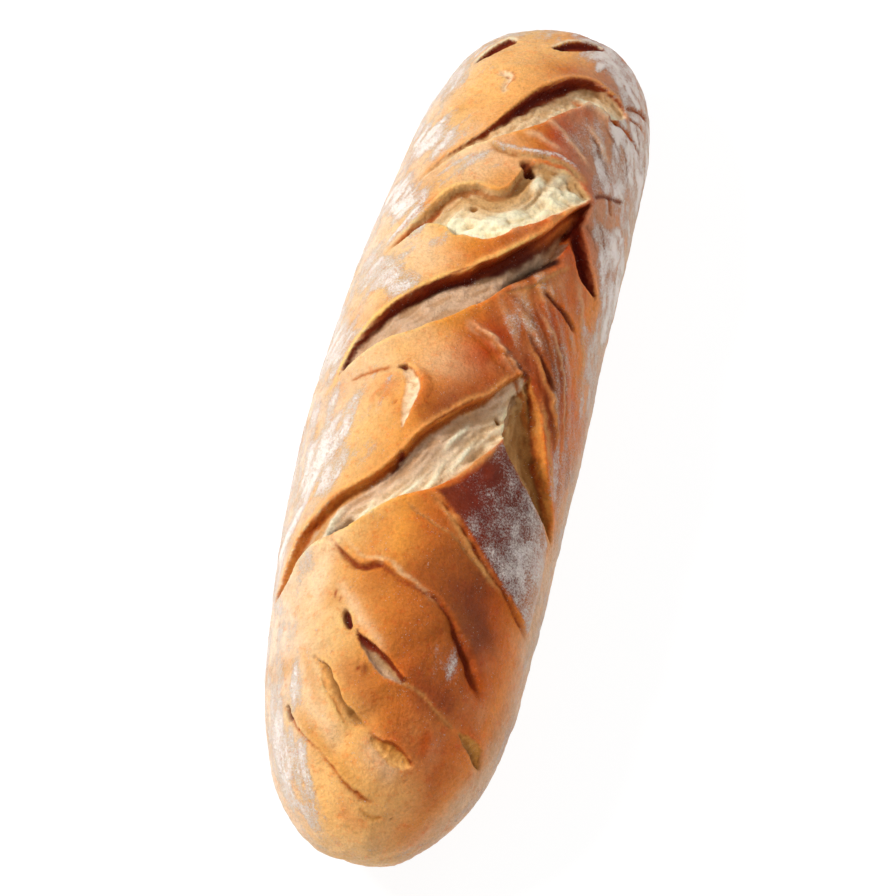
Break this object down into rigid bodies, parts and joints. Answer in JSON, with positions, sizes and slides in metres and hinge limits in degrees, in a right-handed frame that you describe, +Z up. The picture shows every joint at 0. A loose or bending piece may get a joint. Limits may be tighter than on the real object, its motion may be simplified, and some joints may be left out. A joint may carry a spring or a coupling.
{
  "type": "baguette",
  "caption": "Short, blunt baguette baked as one piece, with diagonal scores that opened into raised ears over pale crumb, lying on its flat base.",
  "frame": {"origin": "middle of the flat base, where the loaf rests", "axes": "+Y along the loaf to its wider far end, +X to the loaf's right side, +Z up from the base to the crown"},
  "size_m": [0.0848, 0.294, 0.0682],
  "materials": {
    "crust": "satin golden-brown bread crust, dusted with flour"
  },
  "bodies": {
    "root": {"loaf": "crust"}
  },
  "joints": []
}
